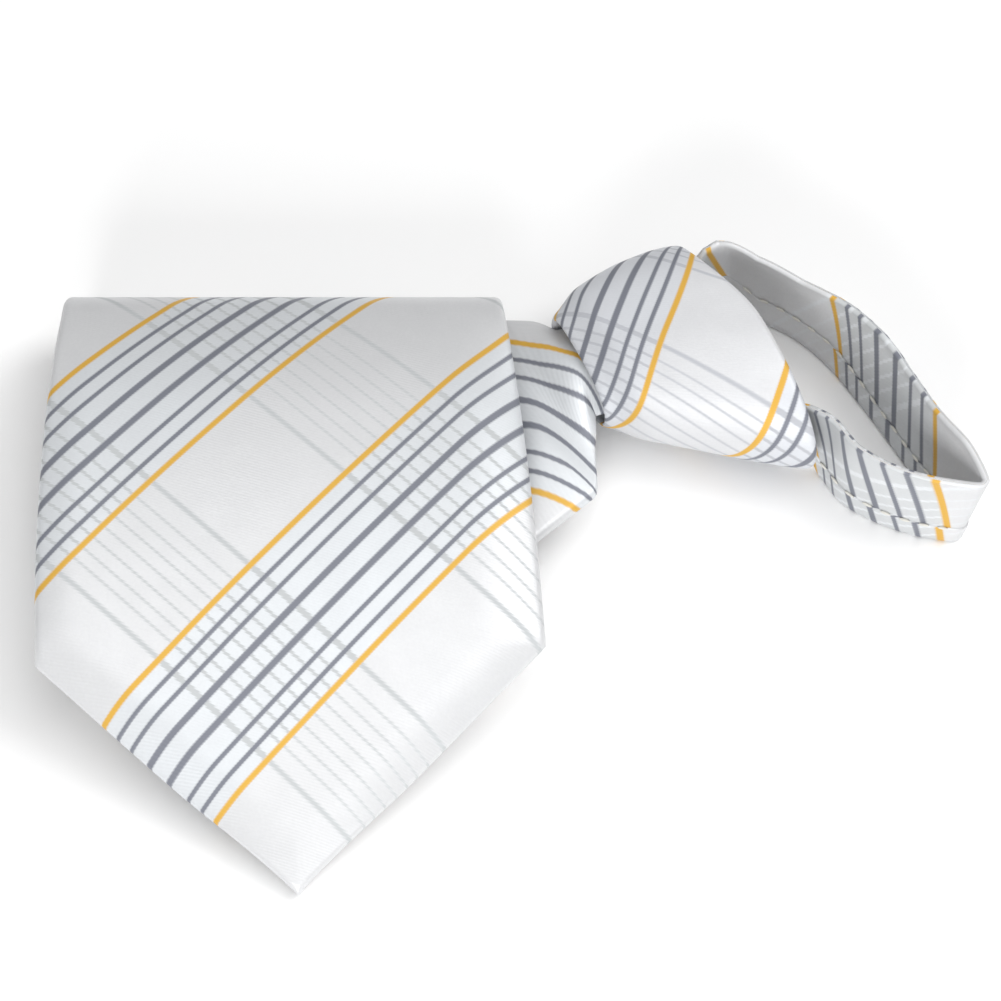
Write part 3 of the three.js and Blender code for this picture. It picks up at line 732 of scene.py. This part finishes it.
def thread(name, ground):
    """Sewing thread: a soft fluffy grain on each stitch."""
    board = Board(name)
    place = board.add("ShaderNodeTexCoord").outputs["Object"]
    fluff = board.noise(place, THREAD_GRAIN)
    board.put(board.shader.inputs["Base Color"], board.blend(fluff, ground, tint(ground, THREAD_SHADE)))
    rough = board.math("MULTIPLY_ADD", fluff, THREAD_ROUGHER, THREAD_ROUGHNESS)
    board.put(board.shader.inputs["Roughness"], rough)
    board.relief(fluff, THREAD_RELIEF, THREAD_DEPTH * MM)
    return board.material


GROUND = (0.7, 0.705, 0.715, 1)
KNOT_GROUND = (0.7, 0.705, 0.72, 1)
# The cloth is pulled round the knot, which widens its stripes and evens out their edges
KNOT_STRETCH = 1.12
KNOT_JAG = 0.03
# Each satin has a ground, a roughness, and the shades of its falling lines and of a group's ground
blade_satin = plaid_satin("plaid satin of the blade", GROUND, 0.4, (0.76, 0.785, 0.785), (1.0, 1.03, 1.05))
knot_satin = plaid_satin(
    "plaid satin of the knot", KNOT_GROUND, 0.52, (0.72, 0.735, 0.77), (0.96, 0.98, 1.01),
    widening=KNOT_STRETCH, jag=KNOT_JAG,
)
# The neck band's copy of the satin carries painted shade: its group ground is painted darker and its falling
# lines lighter, as they look in shade inside the loop
shaded_band_satin = plaid_satin("plaid satin of the neck band", GROUND, 0.5, (1.1, 1.12, 1.13), (0.88, 0.9, 0.9))
core_satin = plaid_satin("plaid satin inside the knot", GROUND, 0.55, (0.8, 0.81, 0.83), (0.95, 0.97, 0.98))
zipper_tape = plain_weave("woven tape of the zipper", (0.5, 0.52, 0.55, 1), 0.9)
white_thread = thread("white sewing thread", (0.72, 0.71, 0.67, 1))


# The blade with its roll and neck

STRIP_END = neck_start + NECK_LENGTH + TUCK
EDGE = CLOTH / 2
# At the tip the cloth thins out over this length, to no less than this share squared
TIP_NOSE, TIP_LEAST = 2.5, 0.02
# How far the blade's sides bow out of a straight line, left and right
SIDE_BOWS = (1.0, 0.5)
# The point's edges draw in a little towards the tip
TIP_DRAW = 0.9
# Columns on the strip's face, round each edge and on each half of the back
FACE_COLUMNS, EDGE_COLUMNS, BACK_COLUMNS = 61, 9, 11
# How much the face's columns crowd towards its edges
CROWDING = 0.6
# A surface's slope is measured over this distance
SLOPE_STEP = 0.05
# A turn within this of a quarter counts as on the face
TURN_SLACK = 0.001
# The folds lie askew, which puts them farther along the strip
FOLD = 1 / math.cos(STRIP_SKEW)
# The strip's stretches: how far along each one ends, and how many rows it has
STRIP_PARTS = [
    (3, 8), (POINT_LENGTH, 44), (top_stop * FOLD, 44), (outer_stop * FOLD, 26), (bottom_stop * FOLD, 18),
    (front_stop * FOLD, 18), (third_stop * FOLD, 18), (inner_stop * FOLD, 18), (slant_along, 20),
    (neck_start, 30), (neck_start + neck_straight, 54), (neck_start + NECK_LENGTH, 36), (STRIP_END, 10),
]
# Where the neck's length is counted from for its stripes, and how far before that they change
NECK_MIDDLE = 40
DRAPE_BEFORE = 12
# How the stripes run over the neck: powers of the length and of the side, and the share of each
NECK_DRAPE = [(0, 0, 7.7), (1, 0, 0.26), (0, 1, -0.75), (2, 0, 0.016), (1, 1, 0.016), (0, 2, 0.006)]
# How many times the rising stripes repeat between the tip and the neck
NECK_REPEATS = 5
# The falling lines stay off the neck, whose fabric is squeezed towards the clear ground here
NECK_CLEAR = 283
NECK_SQUEEZE = 0.6


def sum_of_powers(rows, first, second):
    return sum(share * first**one * second**two for one, two, share in rows)


def strip_rows():
    rows = [0.0]
    for until, count in STRIP_PARTS:
        rows += spread(rows[-1], until, count)
    return np.array(rows)


def strip_ring():
    """The section's columns, from the back's middle all the way round: share across, and turn."""
    even = np.linspace(-1, 1, FACE_COLUMNS)
    face = [CROWDING * math.sin(share * PI / 2) + (1 - CROWDING) * share for share in even]
    left = [(-1, turn) for turn in np.linspace(-PI / 2, PI / 2, EDGE_COLUMNS)[1:-1]]
    right = [(1, turn) for turn in np.linspace(PI / 2, -PI / 2, EDGE_COLUMNS)[1:-1]]
    left_back = [(share, -PI / 2) for share in np.linspace(0, -1, BACK_COLUMNS)]
    right_back = [(share, -PI / 2) for share in np.linspace(1, 0, BACK_COLUMNS)]
    return np.array([*left_back, *left, *((share, PI / 2) for share in face), *right, *right_back])


STRIP_ROWS = strip_rows()
STRIP_RING = strip_ring()


def shown_half(along, share):
    """Half the strip's width, with its sides a little bowed and its point drawn in."""
    over = np.clip((along - POINT_LENGTH) / (top_stop - POINT_LENGTH), 0, 1)
    bow = np.where(share < 0, SIDE_BOWS[0], SIDE_BOWS[1]) * 4 * over * (1 - over)
    near_tip = np.clip(along / POINT_LENGTH, 0, 1)
    return half_width(along) + bow - TIP_DRAW * 4 * near_tip * (1 - near_tip) ** 3


def strip_place(row_share, column_share):
    along = pick(row_share, STRIP_ROWS)
    share, turn = pick(column_share, STRIP_RING).T
    half = np.maximum(shown_half(along, share), 0)
    edge = np.minimum(EDGE, half)
    nose = np.sqrt(np.clip(1 - (1 - np.clip(along / TIP_NOSE, 0, 1)) ** 2, TIP_LEAST, 1))
    at_edge = np.where(np.abs(share) == 1, np.sign(share) * edge * np.cos(turn), 0)
    across = share * (half - edge) + at_edge
    normal = outward(strip_point, along, across, SLOPE_STEP)
    return strip_point(along, across) + normal * (EDGE * nose * np.sin(turn))[..., None]


def strip_flat(row_share, column_share):
    """Fabric coordinates go on round the edges, and the neck's are led to the stripes it shows."""
    along = pick(row_share, STRIP_ROWS)
    share, turn = pick(column_share, STRIP_RING).T
    half = half_width(along)
    edge = np.minimum(EDGE, half)
    on_face = share * (half - edge)
    side = np.where(column_share < 0.5, -1, 1)
    over_edge = half - edge + edge * (PI / 2 - turn)
    behind = 2 * (half - edge) + edge * PI - np.abs(on_face)
    across = side * np.where(np.abs(share) == 1, over_edge, behind)
    across = np.where(turn > PI / 2 - TURN_SLACK, on_face, across)
    ahead = np.clip(along - neck_start - NECK_MIDDLE, -DRAPE_BEFORE, None)
    beside = np.clip(across, -half, half)
    natural = (along - beside) / math.sqrt(2) - NECK_REPEATS * RISING_PERIOD
    lead = sum_of_powers(NECK_DRAPE, ahead, beside) - natural
    led = smooth((along - bottom_stop) / (neck_start - bottom_stop))
    lead = (RISING_START + lead) * led / math.sqrt(2)
    clear = NECK_SQUEEZE * (NECK_CLEAR - (along + across) / math.sqrt(2)) * led / math.sqrt(2)
    return np.stack([along + clear + lead, across + clear - lead], -1)


strip = bent_grid(len(STRIP_ROWS) - 1, len(STRIP_RING) - 1, strip_place, strip_flat)
close_up(strip)
blade = finish_piece("blade_strip", strip, blade_satin, "front_blade")


# The knot's sleeve

KNOT_ROWS, KNOT_COLUMNS = 120, 144
KNOT_EDGE = CLOTH / 2
# At the mouth the sleeve's skin draws in to the neck, over this share of its length
MOUTH_PULL, MOUTH_REACH = 1.3, 0.2
# How the stripes run over the knot: powers of the length and of the way round, and the share of each
KNOT_RISING = [(0, 0, 9.8), (1, 0, 1.07), (0, 1, 0.8), (1, 1, -0.0015), (0, 2, -0.0035)]
KNOT_FALLING = [(0, 0, 22.6), (1, 0, -1.08), (0, 1, 0.76), (2, 0, 0.007), (1, 1, -0.001), (0, 2, -0.0017)]


def knot_run(row_share):
    """Goes along the outside from mouth to rim and back along the inside, with close rows at both."""
    outside = row_share <= 0.5
    run = np.where(outside, 2 * row_share, 2 - 2 * row_share)
    return (1 - np.cos(PI * run)) / 2, outside


def knot_place(row_share, column_share):
    at, outside = knot_run(row_share)
    to_edge = np.minimum(at, 1 - at) * KNOT_LENGTH
    away = 1 - np.clip(to_edge / KNOT_EDGE, 0, 1)
    pull = MOUTH_PULL * (1 - smooth(at / MOUTH_REACH))
    round_off = (CLOTH - pull) / 2 * (1 - np.sqrt(1 - away**2))
    inset = np.where(outside, pull + round_off, CLOTH - round_off)
    return knot_point(at, 2 * PI * column_share - PI / 2, inset)


def knot_flat(row_share, column_share):
    """Fabric coordinates by the length and by the way round, which is counted from the knot's top."""
    at, _ = knot_run(row_share)
    shares = np.linspace(0, 1, KNOT_COLUMNS + 1)
    round_way = np.empty_like(at)
    for one in np.unique(at):
        points = knot_point(np.full_like(shares, one), 2 * PI * shares - PI / 2, 0 * shares)
        steps = np.linalg.norm(np.diff(points, axis=0), axis=-1)
        lengths = np.concatenate([[0], np.cumsum(steps)])
        here = at == one
        round_way[here] = np.interp(0.5, shares, lengths) - np.interp(column_share[here], shares, lengths)
    along = at * KNOT_LENGTH
    rising = sum_of_powers(KNOT_RISING, along, round_way)
    return cut_from(rising, sum_of_powers(KNOT_FALLING, along, round_way))


knot = bent_grid(KNOT_ROWS, KNOT_COLUMNS, knot_place, knot_flat)
close_up(knot)
sleeve = finish_piece("knot_sleeve", knot, knot_satin, "knot_wrap")


# The knot's inner turn: the strip's folded layers between the limbs of the band

TURN_ROWS, TURN_COLUMNS = 40, 96
# Where the layers start, as a share of the knot's length, and the gap between two of them
TURN_START = 0.4
TURN_GAP = 0.3
# A layer's ends round off over this length, and keep no less than this share squared
TURN_EDGE, TURN_LEAST = 3, 0.01
# How square the room's section is, the play at its sides, and how much narrower its top and bottom are
TURN_POWER, TURN_PLAY, TURN_NARROWING = 2.6, 0.6, 0.14
# The layers from the lowest up: where each ends, its shift to the near side, and its share of the height
TURN_LAYERS = [(0.93, 0.4, 0.3), (0.965, -0.5, 0.38), (0.945, 0.3, 0.32)]
# Where the layers lie across the rising and the falling stripes, and how much that changes with height
TURN_RISING, TURN_FALLING = 6, 20
TURN_RISING_STEP, TURN_FALLING_STEP = 20, 9


def turn_room(at):
    """Half the width and height that the band leaves in the knot, with the room's middle and level."""
    half_wide, half_tall, level, swing = knot_section(at)
    far = FAR_ROOT[0][1] * root_reach(half_wide) + BAND_CLOTH / 2 + CORE_FIT
    near = NEAR_ROOT[-1][1] * root_reach(half_wide) - BAND_CLOTH / 2 - CORE_FIT
    return (near - far) / 2, half_tall - CLOTH - CORE_FIT, swing + (near + far) / 2, level


def turn_layer(end, shift, low, high):
    """One layer: where it ends, its shift, and the shares of the height between which it lies."""
    def section(at, column_share):
        half_wide, half_tall, middle, level = turn_room(at)
        to_end = np.minimum(at - TURN_START, end - at) * KNOT_LENGTH
        away = 1 - np.clip(to_end / TURN_EDGE, 0, 1)
        rounded = np.sqrt(np.clip(1 - away**2, TURN_LEAST, 1))
        angle = 2 * PI * column_share
        cos, sin = np.cos(angle), np.sin(angle)
        reach = oval_reach(cos, sin, TURN_POWER)
        thick = half_tall * (high - low) - TURN_GAP / 2
        across = (half_wide - TURN_PLAY - TURN_EDGE * (1 - rounded)) * cos * reach
        # The top and bottom layers are narrower, as the room is
        narrow = 1 - TURN_NARROWING * np.abs(high + low - 1) ** 2
        up = half_tall * (high + low - 1) + thick * rounded * sin * reach
        return across * narrow + shift, up, middle, level

    def place(row_share, column_share):
        at = mix(TURN_START, end, row_share)
        across, up, middle, level = section(at, column_share)
        plan = mouth_place + (at * KNOT_LENGTH)[:, None] * knot_axis + (across + middle)[:, None] * knot_side
        return np.concatenate([plan, (level + up)[:, None]], -1)

    def flat(row_share, column_share):
        at = mix(TURN_START, end, row_share)
        across, _, _, _ = section(at, column_share)
        along = at * KNOT_LENGTH
        return cut_from(TURN_RISING + along + across + TURN_RISING_STEP * low,
                        TURN_FALLING + across - along + TURN_FALLING_STEP * high)

    layer = bent_grid(TURN_ROWS, TURN_COLUMNS, place, flat)
    close_up(layer)
    return layer


turn = bmesh.new()
turn_area, low = 0, 0
for end, shift, share in TURN_LAYERS:
    layer = turn_layer(end, shift, low, low + share)
    turn_area += sum(face.calc_area() for face in layer.faces) / 2
    data = bpy.data.meshes.new("layer")
    layer.to_mesh(data)
    layer.free()
    turn.from_mesh(data)
    bpy.data.meshes.remove(data)
    low += share
inner_turn = finish_piece("inner_turn", turn, core_satin, "knot_core")


# The neck band

BAND_ROWS = 260
# The cloth shows as a thinner band than its solid, whose front face it keeps
BAND_SHOWN = 1.5
BAND_EDGE = BAND_SHOWN / 2
# The crease leans over about this share of its height, in this direction
CREASE_PIVOT = 0.45
CREASE_LEANS_TO = math.radians(-8)
# The front face goes over from the band's inside to its outside here, and over this length
FRONT_SWAP, FRONT_SWAP_RUN = 70, 18
# How many steps the band's middle line has between two of its points
PATH_STEPS = 12
# The band's heading is measured this far before and after
HEADING_STEP = 0.6
# The step in the cloth at the seam, and the shares of the height that it and its groove take
SEAM_STEP = 0.3
SEAM_SPREAD, SEAM_GROOVE = 0.02, 0.003
# Heights of the seam that closes the band, at lengths along it
SEAM = np.array([(15, 8.2), (35, 6.8), (50, 4.4), (130, 4.6)])
# How far across the rising stripes the band lies at mid height, inside and outside the loop
INNER_RISING = np.array([(0, 12.4), (13.5, 25.7), (37.5, 49.3), (48.4, 60), (68, 75), (130, 136)])
OUTER_RISING = np.array([
    (0, 106), (84.7, 25.7), (93.7, 19.3), (100, 13.7), (107.2, 6.2), (112.5, 0), (130, -18),
])
# How far along the band its rising stripes move on with its height
INNER_LEAN, OUTER_LEAN = 0.36, -0.34
# The falling lines inside and outside: start, share of the length, and share of the height
INNER_FALLING = (60, -0.84, 0.54)
OUTER_FALLING = (0, 0.34, 0.94)
# The lower hem's stripes don't quite meet those above the seam
HEM_SHIFT = 1.2
# Heights of the face's columns, close together at the seam, and the columns at each edge
BAND_HEIGHTS = [
    0, 0.06, 0.12, 0.18, 0.215, 0.235, 0.245, 0.25, 0.255, 0.265, 0.285, 0.32,
    0.4, 0.5, 0.6, 0.7, 0.8, 0.9, 1,
]
RING_SEAM = 0.25
BAND_EDGE_COLUMNS = 9

band_line = band_path(PATH_STEPS)
band_steps = np.concatenate([[0], np.cumsum(np.linalg.norm(np.diff(band_line[:, :2], axis=0), axis=1))])
BAND_LENGTH = float(band_steps[-1])


def along_table(table, along):
    return np.interp(along, table[:, 0], table[:, 1])


def band_ring():
    """The section's columns: side (1 inside the loop, -1 outside), share of the height, turn at an edge."""
    inside = [(1, share, 0) for share in BAND_HEIGHTS]
    over_top = [(0, 1, turn) for turn in np.linspace(0, PI, BAND_EDGE_COLUMNS)[1:-1]]
    outside = [(-1, share, 0) for share in BAND_HEIGHTS[::-1]]
    under = [(0, 0, turn) for turn in np.linspace(PI, 2 * PI, BAND_EDGE_COLUMNS)[1:]]
    return np.array([*inside, *over_top, *outside, *under])


BAND_RING = band_ring()


def band_plan(along):
    """Plan place, heading across the band to the loop's inside, and tuck at lengths along the band."""
    x, y, tuck = (np.interp(along, band_steps, band_line[:, k]) for k in range(3))
    before, after = (
        np.stack([np.interp(at, band_steps, band_line[:, k]) for k in (0, 1)], -1)
        for at in (along - HEADING_STEP, along + HEADING_STEP)
    )
    ahead = after - before
    ahead /= np.linalg.norm(ahead, axis=-1, keepdims=True)
    return np.stack([x, y], -1), np.stack([ahead[:, 1], -ahead[:, 0]], -1), np.clip(tuck, 0, 1)


def band_level(along, share, tuck):
    """Height of a point on the band's face, whose ring puts the seam at the same share everywhere."""
    tall = mix(BAND_HEIGHT, BAND_TUCK_HEIGHT, tuck)
    seam = along_table(SEAM, along) / BAND_HEIGHT
    above = (share - RING_SEAM) / (1 - RING_SEAM)
    share = np.where(share < RING_SEAM, share / RING_SEAM * seam, seam + above * (1 - seam))
    low = mix(BAND_HEIGHT, KNOT_TOP_HEIGHT, tuck) / 2 - tall / 2
    tall = tall + along_table(BAND_RISE, along)
    return low + BAND_EDGE + share * (tall - 2 * BAND_EDGE)


def band_spot(along, side, out, up):
    """A point of the band: how far from its middle, on which side and how high, with its lean."""
    plan, inward, _ = band_plan(along)
    forward = (BAND_CLOTH - BAND_SHOWN) / 2 * (1 - 2 * smooth((along - FRONT_SWAP) / FRONT_SWAP_RUN))
    offset = forward + side * out - band_lean(along, 1) * up / BAND_HEIGHT
    crease_lean = band_lean(along, 2) * (up / BAND_HEIGHT - CREASE_PIVOT)
    flat = plan + inward * offset[:, None] + heading(CREASE_LEANS_TO) * crease_lean[:, None]
    return np.concatenate([flat, up[:, None]], -1)


def band_place(row_share, column_share):
    along = row_share * BAND_LENGTH
    side, share, turn = pick(column_share, BAND_RING).T
    tuck = band_plan(along)[2]
    level = band_level(along, share, tuck)
    hem = SEAM_STEP * (0.5 - smooth((share - RING_SEAM) / SEAM_SPREAD + 0.5)) * (1 - tuck)
    hem = np.where(np.abs(share - RING_SEAM) < SEAM_GROOVE, -SEAM_STEP, hem)
    out = np.where(side == 0, BAND_SHOWN / 2 * np.cos(turn), BAND_SHOWN / 2 + hem)
    up = level + np.where(side == 0, BAND_EDGE * np.sin(turn), 0)
    return band_spot(along, np.where(side == 0, 1, side), out, up)


def band_flat(row_share, column_share):
    along = row_share * BAND_LENGTH
    side, share, turn = pick(column_share, BAND_RING).T
    tuck = band_plan(along)[2]
    side = np.where(side == 0, np.where(np.cos(turn) > 0, 1, -1), side)
    up = band_level(along, share, tuck) - BAND_HEIGHT / 2
    hem = np.where(share < RING_SEAM, HEM_SHIFT, 0)

    def cut(rising, lean, falling):
        start, by_length, by_height = falling
        past = along_table(rising, along + lean * up) + hem
        return cut_from(past, start + by_length * along + by_height * up)

    inside = cut(INNER_RISING, INNER_LEAN, INNER_FALLING)
    outside = cut(OUTER_RISING, OUTER_LEAN, OUTER_FALLING)
    return np.where((side > 0)[:, None], inside, outside)


band = bent_grid(BAND_ROWS, len(BAND_RING) - 1, band_place, band_flat)
close_up(band)
neck_loop = finish_piece("neck_loop", band, shaded_band_satin, "neck_band")

# Running stitches along the seam, inside and outside the loop
STITCH_PITCH = 3.6
STITCH_LENGTH = 2.0
STITCH_WIDTH = 0.55
STITCH_LIFT = 0.1
# The band's side that a run is on, and where along the band it starts and ends
STITCH_RUNS = [(1, 17, 75), (-1, 84, 110)]

stitches = bmesh.new()
for side, first, last in STITCH_RUNS:
    for middle in np.arange(first, last, STITCH_PITCH):
        ends = np.array([middle - STITCH_LENGTH / 2, middle + STITCH_LENGTH / 2])
        level = band_level(ends, np.full(2, RING_SEAM), band_plan(ends)[2])
        tips = band_spot(ends, side, BAND_SHOWN / 2 + STITCH_LIFT, level) * MM
        step = Vector(tips[1] - tips[0])
        place = Matrix.Translation(Vector(tips.mean(0))) @ step.to_track_quat("X", "Z").to_matrix().to_4x4()
        size = Matrix.Diagonal((step.length, STITCH_WIDTH * MM, STITCH_WIDTH * MM, 1))
        bmesh.ops.create_uvsphere(stitches, u_segments=10, v_segments=8, radius=0.5, matrix=place @ size)
for face in stitches.faces:
    face.smooth = True
finish_piece("seam_stitches", stitches, white_thread, "")

# The zipper's tail keeps its solid, and gets the woven material
tape =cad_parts["zipper_tail"].data.materials
tape.clear()
tape.append(zipper_tape)


# Floor and light

FLOOR_SIZE = 6
TABLE_WHITE = (0.95, 0.95, 0.95, 1)
TABLE_ROUGHNESS, TABLE_GLOSS = 0.9, 0.1
ROOM_LIGHT = 0.34

bpy.ops.mesh.primitive_plane_add(size=FLOOR_SIZE)
floor = bpy.context.object
floor.name = "floor"
table = Board("white table")
table.shader.inputs["Base Color"].default_value = TABLE_WHITE
table.shader.inputs["Roughness"].default_value = TABLE_ROUGHNESS
table.shader.inputs["Specular IOR Level"].default_value = TABLE_GLOSS
floor.data.materials.append(table.material)


def soft_light(name, power, size, place, aim):
    data = bpy.data.lights.new(name, "AREA")
    data.energy, data.size = power, size
    light = bpy.data.objects.new(name, data)
    light.location = place
    light.rotation_euler = (Vector(aim) - Vector(place)).to_track_quat("-Z", "Y").to_euler()
    bpy.context.scene.collection.objects.link(light)


soft_light("side panel", 5, 0.6, (0.7, 0.2, 0.85), (0.03, 0, 0))
soft_light("top panel", 4.2, 0.9, (0.16, -0.1, 1.0), (0.04, 0, 0))
soft_light("front panel", 9, 0.5, (-0.1, -1.05, 0.42), (0.04, 0, 0.01))
world = bpy.data.worlds.new("studio")
world.use_nodes = True
background = world.node_tree.nodes["Background"]
background.inputs["Color"].default_value = WHITE
background.inputs["Strength"].default_value = ROOM_LIGHT
bpy.context.scene.world = world
bpy.context.scene.view_settings.view_transform = "Standard"
